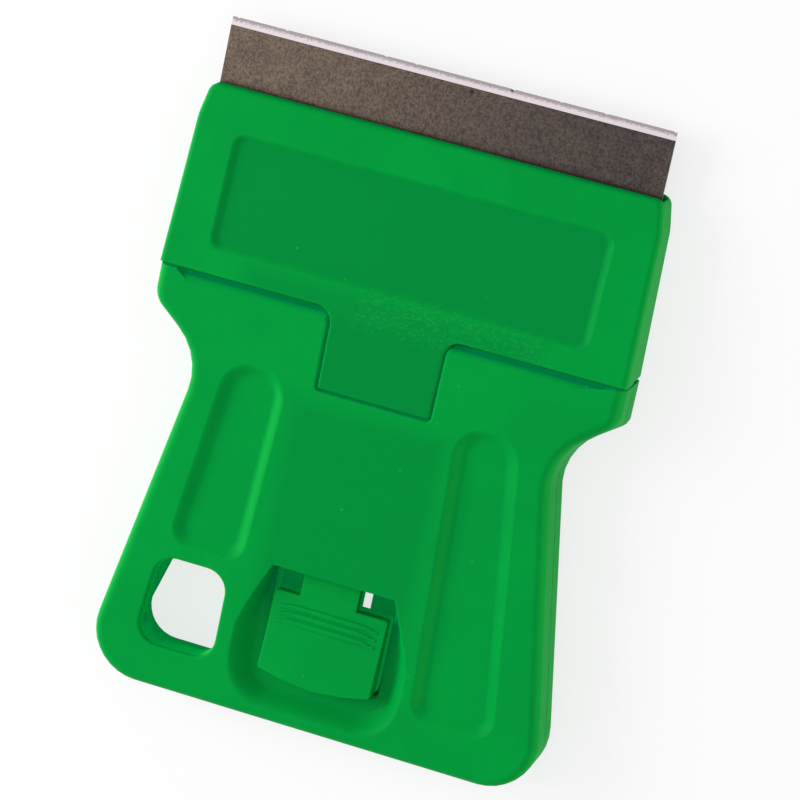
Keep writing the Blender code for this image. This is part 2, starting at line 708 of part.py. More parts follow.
def forked_tail():
    """The tail under the front skin, whose fork takes the root of the latch arm."""
    corners = box_corners(-TAIL_HALF, TAIL_HALF, TAIL_Y, -TONGUE_LENGTH + TONGUE_ROOT, PAD_CORNER)
    tail = cutter("guard_tail", corners, TAIL_BOTTOM + SEAT_FIT, TAIL_TOP)
    room = ARM_WIDTH / 2 + STOP_GAP
    slot = box_corners(ARM_OFFSET - room, ARM_OFFSET + room, TAIL_Y - OVERRUN, FORK_Y)
    cut(tail, cutter("fork_slot", slot, TAIL_BOTTOM - OVERRUN, TAIL_TOP + OVERRUN))
    apply_all(tail)
    return tail


def release_latch(material):
    """The leaf arm, its neck and the press pad, turning where the arm springs from the guard."""
    pad = plate("release_latch", latch_outline(), THICKNESS - PAD_SKIRT, THICKNESS)
    slice_across(pad, [PAD_TOP_Y])
    for corner in pad.data.vertices:
        if corner.co.z > TAIL_TOP:
            corner.co.z = pad_face(corner.co.y)
    pad_low = THICKNESS - PAD_SKIRT + WELD
    round_edges(pad, PAD_EDGE, lambda one, two: min(one.z, two.z) > pad_low)
    for row in range(PAD_RIB_COUNT):
        y = PAD_TOP_Y - PAD_RIB_DROP - row * PAD_RIB_PITCH
        face = pad_face(y)
        half = PAD_WIDTH / 2 - 2 * PAD_EDGE - PAD_RIB_WIDTH
        corners = box_corners(-half, half, y - PAD_RIB_WIDTH / 2, y + PAD_RIB_WIDTH / 2)
        rib = cutter("pad_rib", corners, face - PAD_RIB_HEIGHT * 2, face + PAD_RIB_HEIGHT)
        cut(pad, rib, "UNION")
    left = ARM_OFFSET - ARM_WIDTH / 2
    corners = box_corners(left, left + ARM_WIDTH, PAD_TOP_Y - ARM_THICKNESS, ARM_END_Y)
    cut(pad, cutter("latch_arm", corners, ARM_BOTTOM, TAIL_TOP), "UNION")
    apply_all(pad)
    hinge = Vector((0, HINGE_Y, HINGE_Z))
    pad.data.transform(Matrix.Translation(-hinge))
    pad.location = hinge
    dress(pad, material)
    return pad


def blade(material):
    """The single-edge blade, ground on both sides to its cutting edge."""
    half = BLADE_WIDTH / 2
    notch_y = EDGE_Y - NOTCH_DROP
    right = [
        (half, EDGE_Y, 0),
        (half, notch_y + NOTCH_WIDTH / 2, 0),
        (half - NOTCH_DEPTH, notch_y + NOTCH_WIDTH / 2, NOTCH_WIDTH / 4),
        (half - NOTCH_DEPTH, notch_y - NOTCH_WIDTH / 2, NOTCH_WIDTH / 4),
        (half, notch_y - NOTCH_WIDTH / 2, 0),
        (half, SPINE_Y + BACKING_SHEET + SEAT_FIT, 0),
    ]
    steel = plate("blade", mirrored(right), BLADE_BOTTOM, BLADE_TOP)
    slice_across(steel, [EDGE_Y - BEVEL_HEIGHT])
    for corner in steel.data.vertices:
        if corner.co.y > EDGE_Y - WELD:
            side = 1 if corner.co.z > BLADE_MIDDLE else -1
            corner.co.z = BLADE_MIDDLE + side * EDGE_LAND / 2
    dress(steel, material)
    return steel


def blade_backing(material):
    """The strip of steel folded over the blade's back edge."""
    half = BLADE_WIDTH / 2
    spine = plate("blade_backing", box_corners(-half, half, SPINE_Y, SPINE_Y + BACKING_HEIGHT),
                  BACKING_BOTTOM, BACKING_TOP)
    round_edges(spine, BACKING_FOLD, lambda one, two: max(one.y, two.y) < SPINE_Y + WELD)
    slot_top = SPINE_Y + BACKING_HEIGHT + OVERRUN
    slot = box_corners(-half - OVERRUN, half + OVERRUN, SPINE_Y + BACKING_SHEET, slot_top)
    hold = BLADE_THICKNESS / 2 + SEAT_FIT / 2
    cut(spine, cutter("fold_slot", slot, BLADE_MIDDLE - hold, BLADE_MIDDLE + hold))
    dress(spine, material)
    return spine


green = finish("green_polypropylene", (0.004, 0.33, 0.05), 0.45, 0)
green_back = finish("green_polypropylene_back", (0.004, 0.31, 0.05), 0.45, 0)
green_guard = finish("green_polypropylene_guard", (0.004, 0.34, 0.052), 0.42, 0)
green_latch = finish("green_polypropylene_latch", (0.004, 0.32, 0.05), 0.42, 0)
steel = finish("ground_carbon_steel", (0.15, 0.135, 0.125), 0.42, 0.9)
folded = finish("folded_steel_backing", (0.45, 0.45, 0.46), 0.35, 0.95)

front_shell(green)
back_shell(green_back)
blade_guard(green_guard)
release_latch(green_latch)
blade(steel)
blade_backing(folded)
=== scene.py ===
# Pocket scraper: moulded polypropylene handle, guard and press pad round a ground steel blade.
import math
import bmesh
import bpy
from mathutils import Matrix, Vector
from mathutils.bvhtree import BVHTree


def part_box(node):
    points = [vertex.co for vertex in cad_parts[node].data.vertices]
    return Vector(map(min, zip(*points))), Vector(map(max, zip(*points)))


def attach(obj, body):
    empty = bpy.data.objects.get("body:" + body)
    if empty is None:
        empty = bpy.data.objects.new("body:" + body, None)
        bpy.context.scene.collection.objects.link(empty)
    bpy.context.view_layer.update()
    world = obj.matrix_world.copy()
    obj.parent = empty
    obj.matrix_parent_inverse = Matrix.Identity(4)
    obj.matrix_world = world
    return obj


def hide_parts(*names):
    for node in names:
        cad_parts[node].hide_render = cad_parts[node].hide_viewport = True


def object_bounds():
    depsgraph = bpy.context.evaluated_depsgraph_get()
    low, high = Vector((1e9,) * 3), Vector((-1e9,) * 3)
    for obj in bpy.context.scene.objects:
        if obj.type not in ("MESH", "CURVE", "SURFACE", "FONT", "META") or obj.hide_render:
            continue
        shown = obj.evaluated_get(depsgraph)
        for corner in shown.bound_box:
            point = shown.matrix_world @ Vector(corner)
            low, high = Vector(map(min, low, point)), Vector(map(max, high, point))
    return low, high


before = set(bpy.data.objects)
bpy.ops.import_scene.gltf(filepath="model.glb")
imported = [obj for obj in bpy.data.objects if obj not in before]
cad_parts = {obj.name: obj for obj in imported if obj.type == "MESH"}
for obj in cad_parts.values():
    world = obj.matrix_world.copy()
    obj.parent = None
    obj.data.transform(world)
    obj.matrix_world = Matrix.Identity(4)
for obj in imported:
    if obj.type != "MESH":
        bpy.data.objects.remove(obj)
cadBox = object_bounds()
print("frame loaded")

mm = 0.001
scene = bpy.context.scene
scene.view_settings.view_transform = "Standard"


# Camera, at the photograph's viewing angle

cameraSettings = {
    "place": (69.1 * mm, 83.8 * mm, 291.6 * mm),
    "right": (0.93953, 0.20491, -0.27440),
    "up": (-0.26588, 0.94145, -0.20731),
    "back": (0.21586, 0.26773, 0.93900),
    "focalPixels": 3730,
    "framePixels": 800,
    "sensor": 36,
    "shiftPixels": (-14.0, -0.9),
    "nearest": 10 * mm,
    "farthest": 5,
}


def makeCamera(s):
    data = bpy.data.cameras.new("photoCamera")
    data.sensor_width = s["sensor"]
    data.lens = s["focalPixels"] * s["sensor"] / s["framePixels"]
    data.shift_x = s["shiftPixels"][0] / s["framePixels"]
    data.shift_y = s["shiftPixels"][1] / s["framePixels"]
    data.clip_start = s["nearest"]
    data.clip_end = s["farthest"]
    turn = Matrix((s["right"], s["up"], s["back"])).transposed()
    camera = bpy.data.objects.new("photoCamera", data)
    camera.matrix_world = Matrix.Translation(s["place"]) @ turn.to_4x4()
    scene.collection.objects.link(camera)
    scene.camera = camera


makeCamera(cameraSettings)
print("camera placed")


# Colours and nodes

def linearColour(code):
    # an sRGB hex value as the linear colour that a shader takes
    shares = [int(code[i:i + 2], 16) / 255 for i in (1, 3, 5)]
    return tuple(c / 12.92 if c <= 0.04045 else ((c + 0.055) / 1.055) ** 2.4 for c in shares) + (1,)


def addNode(tree, kind, inputs=None, **settings):
    # an input takes a plain value, a socket to link from, or a node whose first live output is linked
    node = tree.nodes.new(kind)
    for name, value in settings.items():
        setattr(node, name, value)
    for name, value in (inputs or {}).items():
        if isinstance(value, bpy.types.Node):
            value = next(output for output in value.outputs if output.enabled)
        if isinstance(value, bpy.types.NodeSocket):
            tree.links.new(value, node.inputs[name])
        else:
            node.inputs[name].default_value = value
    return node


def startMaterial(name):
    material = bpy.data.materials.new(name)
    material.use_nodes = True
    material.node_tree.nodes.clear()
    return material, material.node_tree


# Studio: a pale floor, a soft white room and a low soft light from the left

studioSettings = {
    "roomStrength": 0.66,
    "keyPlace": (-300 * mm, 40 * mm, 190 * mm),
    "keySize": 200 * mm,
    "keyPower": 0.82,
    "floorSize": 4,
    "floorLevel": -0.02 * mm,
    "floorColour": "#E2E2E2",
    "floorSeenColour": "#FFFFFF",
    "floorPlainShare": 0.75,
}


def makeRoom(s):
    # white to the camera and in mirrors, softer as a light
    world = bpy.data.worlds.new("whiteRoom")
    scene.world = world
    world.use_nodes = True
    tree = world.node_tree
    tree.nodes.clear()
    path = addNode(tree, "ShaderNodeLightPath").outputs
    seen = addNode(tree, "ShaderNodeMath", {0: path["Is Camera Ray"], 1: path["Is Glossy Ray"]},
                   operation="MAXIMUM")
    seen = addNode(tree, "ShaderNodeMath", {0: seen, 1: path["Is Transmission Ray"]}, operation="MAXIMUM")
    strength = addNode(tree, "ShaderNodeMath", {0: seen, 1: 1 - s["roomStrength"], 2: s["roomStrength"]},
                       operation="MULTIPLY_ADD")
    room = addNode(tree, "ShaderNodeBackground", {"Color": (1, 1, 1, 1), "Strength": strength})
    addNode(tree, "ShaderNodeOutputWorld", {"Surface": room})


def makeKeyLight(s):
    light = bpy.data.lights.new("keyPanel", "AREA")
    light.size = s["keySize"]
    light.energy = s["keyPower"]
    lamp = bpy.data.objects.new("keyPanel", light)
    lamp.location = s["keyPlace"]
    lamp.rotation_euler = (-Vector(s["keyPlace"])).to_track_quat("-Z", "Y").to_euler()
    scene.collection.objects.link(lamp)


def makeFloor(s):
    # mostly plain white to the camera, so that it shows the object's shadow and no edge
    material, tree = startMaterial("paleFloor")
    path = addNode(tree, "ShaderNodeLightPath").outputs
    seen = addNode(tree, "ShaderNodeMath", {0: path["Is Camera Ray"], 1: path["Is Glossy Ray"]},
                   operation="MAXIMUM")
    seenColour = linearColour(s["floorSeenColour"])
    colour = addNode(tree, "ShaderNodeMix", {"Factor": seen, 6: linearColour(s["floorColour"]),
                                             7: seenColour}, data_type="RGBA")
    lit = addNode(tree, "ShaderNodeBsdfDiffuse", {"Color": colour})
    plain = addNode(tree, "ShaderNodeEmission", {"Color": seenColour, "Strength": 1.0})
    share = addNode(tree, "ShaderNodeMath", {0: seen, 1: s["floorPlainShare"]}, operation="MULTIPLY")
    shader = addNode(tree, "ShaderNodeMixShader", {0: share, 1: lit, 2: plain})
    addNode(tree, "ShaderNodeOutputMaterial", {"Surface": shader})
    bpy.ops.mesh.primitive_plane_add(size=s["floorSize"], location=(0, 0, s["floorLevel"]))
    floor = bpy.context.object
    floor.name = "floor"
    floor.data.materials.append(material)


makeRoom(studioSettings)
makeKeyLight(studioSettings)
makeFloor(studioSettings)
print("studio lit")


# Places shared by several pieces: the seam between guard and handle is the datum

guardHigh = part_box("blade_guard")[1]
bladeLow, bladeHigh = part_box("blade")
guardLength = 15.27 * mm
seamY = guardHigh.y - guardLength


# Moulded polypropylene: an even satin green with a fine spark-eroded grain; painted light makes the
# outer side walls a little paler and yellower, painted shade makes hollows bluer and deeper

plasticSettings = {
    "faceColour": "#00A03F",
    # the deeper green of the clouds and zones, painted shade in some zones
    "deepToneAndShadeColour": "#008F3C",
    # painted light on the outer side walls
    "sideLightColour": "#1CC24A",
    "sideLightRange": (0.3, 0.9),
    "cloudSize": 7 * mm,
    "cloudRange": (0.35, 0.65),
    "cloudShare": 0.35,
    "frontLevel": 3 * mm,
    "softEdge": 0.16 * mm,
    "nearSamples": 6,
    "grainSize": 0.22 * mm,
    "grainHeight": 0.006 * mm,
    "wrinkleSize": 0.16 * mm,
    "wrinkleStretch": 2.2,
    "wrinkleTurn": math.radians(125),
    "wrinkleHeight": 0.015 * mm,
    # painted highlight on the crests of the wrinkles
    "wrinkleHighlightColour": "#22AE52",
    "wrinkleHighlightRange": (0.5, 0.68),
    "wrinkleHighlightShare": 0.35,
    # painted shade in hollows
    "hollowShadeColour": "#008C6C",
    "hollowReach": 1.1 * mm,
    "hollowShadeRange": (0.95, 0.35),
    "hollowShadeShare": 0.7,
    # painted light in narrow gaps, also the colour of the painted glow
    "gapColour": "#00D870",
    "gapRange": (0.4, 0.1),
    "gapShare": 0.6,
    # painted glow: its range, its strength in gaps and its strength on the walls of lit zones
    "glowRange": (0.35, 0.05),
    "gapGlow": 0.1,
    "wallGlow": 0.15,
    "speckSpacing": 3.2 * mm,
    "speckRadius": 0.05,
    "speckColour": "#18A84C",
    "roughness": 0.48,
    "specular": 0.03,
    "shineRange": (0.6, 0.95),
    "upwardRange": (0.2, 0.6),
    "subsurface": 0.3,
    "subsurfaceRadius": (0.25, 1.0, 0.3),
    "subsurfaceScale": 0.8 * mm,
}


def boxMask(tree, coords, centre, half, soft):
    # 1 inside an upright box on the plan, easing to 0 over a soft border
    axes = addNode(tree, "ShaderNodeSeparateXYZ", {0: coords}).outputs
    shares = []
    for axis in (0, 1):
        shifted = addNode(tree, "ShaderNodeMath", {0: axes[axis], 1: centre[axis]}, operation="SUBTRACT")
        away = addNode(tree, "ShaderNodeMath", {0: shifted}, operation="ABSOLUTE")
        limits = {"Value": away, "From Min": half[axis] + soft / 2, "From Max": half[axis] - soft / 2}
        shares.append(addNode(tree, "ShaderNodeMapRange", limits, interpolation_type="SMOOTHSTEP"))
    return addNode(tree, "ShaderNodeMath", dict(enumerate(shares)), operation="MINIMUM")


def easedShare(value, limits, share=1.0):
    # the inputs of a Map Range node that rises from 0 to a share between two limits
    return {"Value": value, "From Min": limits[0], "From Max": limits[1], "To Max": share}


def mouldedPolypropylene(name, s, deepToneAndShadeZones=(), wrinkledZones=(), litZones=(), sideLightShare=0.0):
    material, tree = startMaterial(name)
    place = addNode(tree, "ShaderNodeTexCoord").outputs
    coords = place["Object"]
    spot = addNode(tree, "ShaderNodeSeparateXYZ", {0: coords}).outputs
    front = addNode(tree, "ShaderNodeMath", {0: spot[2], 1: s["frontLevel"]}, operation="GREATER_THAN")

    # faint clouds of the deeper green, and whole zones of it on the front, those along the seam and on the
    # tongue painted shade
    cloud = addNode(tree, "ShaderNodeTexNoise", {"Vector": coords, "Scale": 1 / s["cloudSize"], "Detail": 3})
    deepToneAndShade = addNode(tree, "ShaderNodeMapRange", easedShare(cloud, s["cloudRange"], s["cloudShare"]),
                   interpolation_type="SMOOTHSTEP")
    for centre, half, soft, share in deepToneAndShadeZones:
        zone = boxMask(tree, coords, centre, half, soft)
        zone = addNode(tree, "ShaderNodeMath", {0: zone, 1: share}, operation="MULTIPLY")
        zone = addNode(tree, "ShaderNodeMath", {0: zone, 1: front}, operation="MULTIPLY")
        deepToneAndShade = addNode(tree, "ShaderNodeMath", {0: deepToneAndShade, 1: zone}, operation="MAXIMUM")
    colour = addNode(tree, "ShaderNodeMix", {"Factor": deepToneAndShade, 6: linearColour(s["faceColour"]),
                                             7: linearColour(s["deepToneAndShadeColour"])}, data_type="RGBA")

    # painted light: paler and yellower where a wall looks out to the left or right
    facing = addNode(tree, "ShaderNodeSeparateXYZ", {0: place["Normal"]}).outputs
    half = addNode(tree, "ShaderNodeMath", {0: spot[0]}, operation="SIGN")
    outward = addNode(tree, "ShaderNodeMath", {0: facing[0], 1: half}, operation="MULTIPLY")
    side = addNode(tree, "ShaderNodeMapRange", easedShare(outward, s["sideLightRange"], sideLightShare),
                   interpolation_type="SMOOTHSTEP")
    colour = addNode(tree, "ShaderNodeMix", {"Factor": side, 6: colour, 7: linearColour(s["sideLightColour"])},
                     data_type="RGBA")

    # painted shade: bluer in hollows; painted light: a lit green and a painted glow in narrow gaps, standing
    # in for the light that thin walls let through
    openness = addNode(tree, "ShaderNodeAmbientOcclusion", {"Distance": s["hollowReach"]},
                       samples=s["nearSamples"]).outputs["AO"]
    for kind in ("hollowShade", "gap"):
        limits = easedShare(openness, s[kind + "Range"], s[kind + "Share"])
        share = addNode(tree, "ShaderNodeMapRange", limits, interpolation_type="SMOOTHSTEP")
        colour = addNode(tree, "ShaderNodeMix", {"Factor": share, 6: colour,
                                                 7: linearColour(s[kind + "Colour"])}, data_type="RGBA")
    # painted glow in narrow gaps
    glow = addNode(tree, "ShaderNodeMapRange", easedShare(openness, s["glowRange"], s["gapGlow"]),
                   interpolation_type="SMOOTHSTEP")
    # painted glow on the walls inside each lit zone, between its two levels
    for centre, half, soft, low, high in litZones:
        zone = boxMask(tree, coords, centre, half, soft)
        for operation, level in (("GREATER_THAN", low), ("LESS_THAN", high)):
            inside = addNode(tree, "ShaderNodeMath", {0: spot[2], 1: level}, operation=operation)
            zone = addNode(tree, "ShaderNodeMath", {0: zone, 1: inside}, operation="MULTIPLY")
        lit = addNode(tree, "ShaderNodeMath", {0: zone, 1: s["wallGlow"]}, operation="MULTIPLY")
        glow = addNode(tree, "ShaderNodeMath", {0: glow, 1: lit}, operation="MAXIMUM")

    # a wall seen along its face would mirror the white room, so only tops and outer sides shine
    upward = addNode(tree, "ShaderNodeMapRange", easedShare(facing[2], s["upwardRange"]),
                     interpolation_type="SMOOTHSTEP")
    upward = addNode(tree, "ShaderNodeMath", {0: upward, 1: side}, operation="MAXIMUM")
    shine = addNode(tree, "ShaderNodeMapRange", easedShare(openness, s["shineRange"], s["specular"]),
                    interpolation_type="SMOOTHSTEP")
    shine = addNode(tree, "ShaderNodeMath", {0: shine, 1: upward}, operation="MULTIPLY")

    # a few pale specks
    speck = addNode(tree, "ShaderNodeTexVoronoi", {"Vector": coords, "Scale": 1 / s["speckSpacing"]})
    isSpeck = addNode(tree, "ShaderNodeMapRange", easedShare(speck, (s["speckRadius"], s["speckRadius"] / 2)),
                      interpolation_type="SMOOTHSTEP")
    colour = addNode(tree, "ShaderNodeMix", {"Factor": isSpeck, 6: colour, 7: linearColour(s["speckColour"])},
                     data_type="RGBA")

    # softened edges, fine grain, and strokes of wrinkled surface
    rounded = addNode(tree, "ShaderNodeBevel", {"Radius": s["softEdge"]}, samples=s["nearSamples"])
    grain = addNode(tree, "ShaderNodeTexNoise", {"Vector": coords, "Scale": 1 / s["grainSize"], "Detail": 2})
    bump = addNode(tree, "ShaderNodeBump", {"Height": grain, "Strength": 1.0, "Normal": rounded,
                                            "Distance": s["grainHeight"]})
    for centre, half, soft in wrinkledZones:
        turned = addNode(tree, "ShaderNodeMapping", {"Vector": coords, "Rotation": (0, 0, s["wrinkleTurn"]),
                                                     "Scale": (1, s["wrinkleStretch"], 1)})
        wrinkle = addNode(tree, "ShaderNodeTexNoise", {"Vector": turned, "Detail": 2,
                                                       "Scale": 1 / (s["wrinkleSize"] * s["wrinkleStretch"])})
        mask = boxMask(tree, coords, centre, half, soft)
        mask = addNode(tree, "ShaderNodeMath", {0: mask, 1: front}, operation="MULTIPLY")
        height = addNode(tree, "ShaderNodeMath", {0: wrinkle, 1: mask}, operation="MULTIPLY")
        bump = addNode(tree, "ShaderNodeBump", {"Height": height, "Strength": 1.0, "Normal": bump,
                                                "Distance": s["wrinkleHeight"]})
        # painted highlight: the wrinkles' crests are painted paler
        crestHighlight = addNode(tree, "ShaderNodeMapRange", easedShare(wrinkle, s["wrinkleHighlightRange"], s["wrinkleHighlightShare"]),
                        interpolation_type="SMOOTHSTEP")
        crestHighlight = addNode(tree, "ShaderNodeMath", {0: crestHighlight, 1: mask}, operation="MULTIPLY")
        colour = addNode(tree, "ShaderNodeMix", {"Factor": crestHighlight, 6: colour,
                                                 7: linearColour(s["wrinkleHighlightColour"])}, data_type="RGBA")
    shader = addNode(tree, "ShaderNodeBsdfPrincipled", {
        "Base Color": colour, "Roughness": s["roughness"], "Specular IOR Level": shine,
        "IOR": 1.49, "Normal": bump, "Subsurface Weight": s["subsurface"],
        "Subsurface Radius": s["subsurfaceRadius"], "Subsurface Scale": s["subsurfaceScale"],
        "Emission Color": linearColour(s["gapColour"]), "Emission Strength": glow,
    })
    addNode(tree, "ShaderNodeOutputMaterial", {"Surface": shader})
    return material


# Ground carbon steel: brown-grey and mottled, tarnished along the guard's lip, with a bright honed
# bevel whose edge is worn grey

steelSettings = {
    "leftColour": "#6E6055",
    "rightColour": "#45403F",
    "mottleColour": "#5A4E48",
    "mottleSize": 2.2 * mm,
    "mottleRange": (0.35, 0.7),
    "mottleShare": 0.6,
    "lineSize": 0.12 * mm,
    "lineStretch": 5,
    "lineHeight": 0.004 * mm,
    "lineShare": 0.25,
    "grainSize": 0.2 * mm,
    "grainRange": (0.35, 0.65),
    "shadeRange": (0.62, 1.36),
    "honedColour": "#DDD3D8",
    "honedHeight": 0.73 * mm,
    "wornColour": "#8E8284",
    "wornHeight": 0.16 * mm,
    "wornShare": 0.8,
    "raggedHeight": 0.64 * mm,
    "chipColour": "#3A2E2C",
    "chipSpacing": 2.6 * mm,
    "chipRadius": 0.1,
    "chipDrop": 0.76 * mm,
    "chipReach": 0.65 * mm,
    "burrHeight": 0.03 * mm,
    "burrShare": 0.45,
    "tarnishColour": "#5A241C",
    "tarnishHeight": 0.3 * mm,
    "tarnishShare": 0.45,
    "roughness": 0.42,
    "honedRoughness": 0.3,
}


def groundSteel(name, s, edgeY, halfWidth, lipY):
    material, tree = startMaterial(name)
    coords = addNode(tree, "ShaderNodeTexCoord").outputs["Object"]
    axes = addNode(tree, "ShaderNodeSeparateXYZ", {0: coords}).outputs

    # brown on the left to grey on the right, mottled
    across = addNode(tree, "ShaderNodeMapRange", easedShare(axes[0], (-halfWidth, halfWidth)),
                     interpolation_type="SMOOTHSTEP")
    colour = addNode(tree, "ShaderNodeMix", {"Factor": across, 6: linearColour(s["leftColour"]),
                                             7: linearColour(s["rightColour"])}, data_type="RGBA")
    mottle = addNode(tree, "ShaderNodeTexNoise", {"Vector": coords, "Scale": 1 / s["mottleSize"], "Detail": 5,
                                                  "Roughness": 0.65})
    mottled = addNode(tree, "ShaderNodeMapRange", easedShare(mottle, s["mottleRange"], s["mottleShare"]),
                      interpolation_type="SMOOTHSTEP")
    colour = addNode(tree, "ShaderNodeMix", {"Factor": mottled, 6: colour,
                                             7: linearColour(s["mottleColour"])}, data_type="RGBA")

    # grinding lines and grain shade it lighter and darker
    stretched = addNode(tree, "ShaderNodeMapping", {"Vector": coords, "Scale": (1, 1 / s["lineStretch"], 1)})
    lines = addNode(tree, "ShaderNodeTexNoise", {"Vector": stretched, "Scale": 1 / s["lineSize"],
                                                 "Detail": 2})
    grain = addNode(tree, "ShaderNodeTexNoise", {"Vector": coords, "Scale": 1 / s["grainSize"], "Detail": 3,
                                                 "Roughness": 0.7})
    both = addNode(tree, "ShaderNodeMix", {"Factor": s["lineShare"], 2: grain, 3: lines})
    limits = {"Value": both, "From Min": s["grainRange"][0], "From Max": s["grainRange"][1],
              "To Min": s["shadeRange"][0], "To Max": s["shadeRange"][1]}
    shade = addNode(tree, "ShaderNodeMapRange", limits, interpolation_type="SMOOTHSTEP")
    grey = addNode(tree, "ShaderNodeCombineColor", {0: shade, 1: shade, 2: shade})
    colour = addNode(tree, "ShaderNodeMix", {"Factor": 1.0, 6: colour, 7: grey}, data_type="RGBA",
                     blend_type="MULTIPLY")
    tarnish = addNode(tree, "ShaderNodeMapRange",
                      easedShare(axes[1], (lipY + s["tarnishHeight"], lipY), s["tarnishShare"]),
                      interpolation_type="SMOOTHSTEP")
    colour = addNode(tree, "ShaderNodeMix", {"Factor": tarnish, 6: colour,
                                             7: linearColour(s["tarnishColour"])}, data_type="RGBA")

    # the honed bevel, worn along its edge
    drop = addNode(tree, "ShaderNodeMath", {0: edgeY, 1: axes[1]}, operation="SUBTRACT")
    bevel = addNode(tree, "ShaderNodeMath", {0: drop, 1: s["honedHeight"]}, operation="LESS_THAN")
    ragged = addNode(tree, "ShaderNodeMath", {0: grain, 1: s["raggedHeight"]}, operation="MULTIPLY")
    ragged = addNode(tree, "ShaderNodeMath", {0: drop, 1: ragged}, operation="SUBTRACT")
    worn = addNode(tree, "ShaderNodeMapRange",
                   easedShare(ragged, (s["wornHeight"], -s["wornHeight"]), s["wornShare"]),
                   interpolation_type="SMOOTHSTEP")
    honed = addNode(tree, "ShaderNodeMix", {"Factor": worn, 6: linearColour(s["honedColour"]),
                                            7: linearColour(s["wornColour"])}, data_type="RGBA")
    colour = addNode(tree, "ShaderNodeMix", {"Factor": bevel, 6: colour, 7: honed}, data_type="RGBA")

    # dark chips and a fine burr where the bevel begins
    chips = addNode(tree, "ShaderNodeTexVoronoi", {"Vector": coords, "Scale": 1 / s["chipSpacing"]})
    chip = addNode(tree, "ShaderNodeMapRange", easedShare(chips, (s["chipRadius"], s["chipRadius"] / 2)),
                   interpolation_type="SMOOTHSTEP")
    near = addNode(tree, "ShaderNodeMath", {0: drop, 1: s["chipDrop"]}, operation="SUBTRACT")
    near = addNode(tree, "ShaderNodeMath", {0: near}, operation="ABSOLUTE")
    inside = addNode(tree, "ShaderNodeMath", {0: near, 1: s["chipReach"]}, operation="LESS_THAN")
    chip = addNode(tree, "ShaderNodeMath", {0: chip, 1: inside}, operation="MULTIPLY")
    burr = addNode(tree, "ShaderNodeMath", {0: near, 1: s["burrHeight"]}, operation="LESS_THAN")
    burr = addNode(tree, "ShaderNodeMath", {0: burr, 1: s["burrShare"]}, operation="MULTIPLY")
    chip = addNode(tree, "ShaderNodeMath", {0: chip, 1: burr}, operation="MAXIMUM")
    colour = addNode(tree, "ShaderNodeMix", {"Factor": chip, 6: colour, 7: linearColour(s["chipColour"])},
                     data_type="RGBA")
    roughness = addNode(tree, "ShaderNodeMix", {"Factor": bevel, 2: s["roughness"], 3: s["honedRoughness"]})
    bump = addNode(tree, "ShaderNodeBump", {"Height": lines, "Strength": 1.0, "Distance": s["lineHeight"]})
    shader = addNode(tree, "ShaderNodeBsdfPrincipled", {
        "Base Color": colour, "Metallic": 1.0, "Roughness": roughness, "Normal": bump,
    })
    addNode(tree, "ShaderNodeOutputMaterial", {"Surface": shader})
    return material


# Folded steel strip: cold-rolled, with faint rolling lines along its length

backingSettings = {
    "colour": "#A9A9AB",
    "lineSize": 0.1 * mm,
    "lineStretch": 30,
    "lineHeight": 0.003 * mm,
    "lineRange": (0.3, 0.7),
    "roughness": 0.36,
    "lineRoughness": 0.48,
}


def rolledSteel(name, s):
    material, tree = startMaterial(name)
    coords = addNode(tree, "ShaderNodeTexCoord").outputs["Object"]
    stretched = addNode(tree, "ShaderNodeMapping", {"Vector": coords, "Scale": (1 / s["lineStretch"], 1, 1)})
    lines = addNode(tree, "ShaderNodeTexNoise", {"Vector": stretched, "Scale": 1 / s["lineSize"]})
    bump = addNode(tree, "ShaderNodeBump", {"Height": lines, "Strength": 1.0, "Distance": s["lineHeight"]})
    limits = easedShare(lines, s["lineRange"], s["lineRoughness"])
    roughness = addNode(tree, "ShaderNodeMapRange", dict(limits, **{"To Min": s["roughness"]}),
                        interpolation_type="SMOOTHSTEP")
    shader = addNode(tree, "ShaderNodeBsdfPrincipled", {
        "Base Color": linearColour(s["colour"]), "Metallic": 1.0, "Roughness": roughness, "Normal": bump,
    })
    addNode(tree, "ShaderNodeOutputMaterial", {"Surface": shader})
    return material


# Zones on the plan are (centre, half size, soft border) and then a share, or the lit levels

# the window and the hanging hole get a painted glow on their walls
windowZone = ((0, -18 * mm), (7 * mm, 6 * mm), 1 * mm, 0.5 * mm, 3.7 * mm)
holeZone = ((-12.5 * mm, -21 * mm), (5 * mm, 5.5 * mm), 0.5 * mm, 0.1 * mm, 5.2 * mm)
handleFinish = {
    "sideLightShare": 0.7,
    "deepToneAndShadeZones": [((0, seamY - 17 * mm), (7 * mm, 9 * mm), 3 * mm, 0.75)],
    "litZones": [windowZone, holeZone],
}
guardFinish = {
    "sideLightShare": 0.7,
    "deepToneAndShadeZones": [((0, seamY + 6.98 * mm), (16.2 * mm, 4.65 * mm), 1.2 * mm, 0.95),  # the sunk panel
                  # painted shade along the seam
                  ((0, seamY), (13 * mm, 2 * mm), 3 * mm, 0.8),
                  # painted shade on the tongue
                  ((0, seamY - 4 * mm), (6 * mm, 4 * mm), 2 * mm, 1.0)],  # the tongue
    # a wrinkled strip whose crests get a painted highlight
    "wrinkledZones": [((5 * mm, seamY + 0.7 * mm), (8 * mm, 1.7 * mm), 1.2 * mm)],
}
latchFinish = {"litZones": [windowZone]}

handlePlastic = mouldedPolypropylene("mouldedPolypropyleneHandle", plasticSettings, **handleFinish)
guardPlastic = mouldedPolypropylene("mouldedPolypropyleneGuard", plasticSettings, **guardFinish)
# the latch gets little painted shade in its hollows
latchPlastic = mouldedPolypropylene("mouldedPolypropyleneLatch", dict(plasticSettings, hollowShadeShare=0.1),
                                    **latchFinish)
bladeSteel = groundSteel("groundCarbonSteel", steelSettings, bladeHigh.y, bladeHigh.x, guardHigh.y)
backingSteel = rolledSteel("foldedRolledSteel", backingSettings)
print("materials ready")


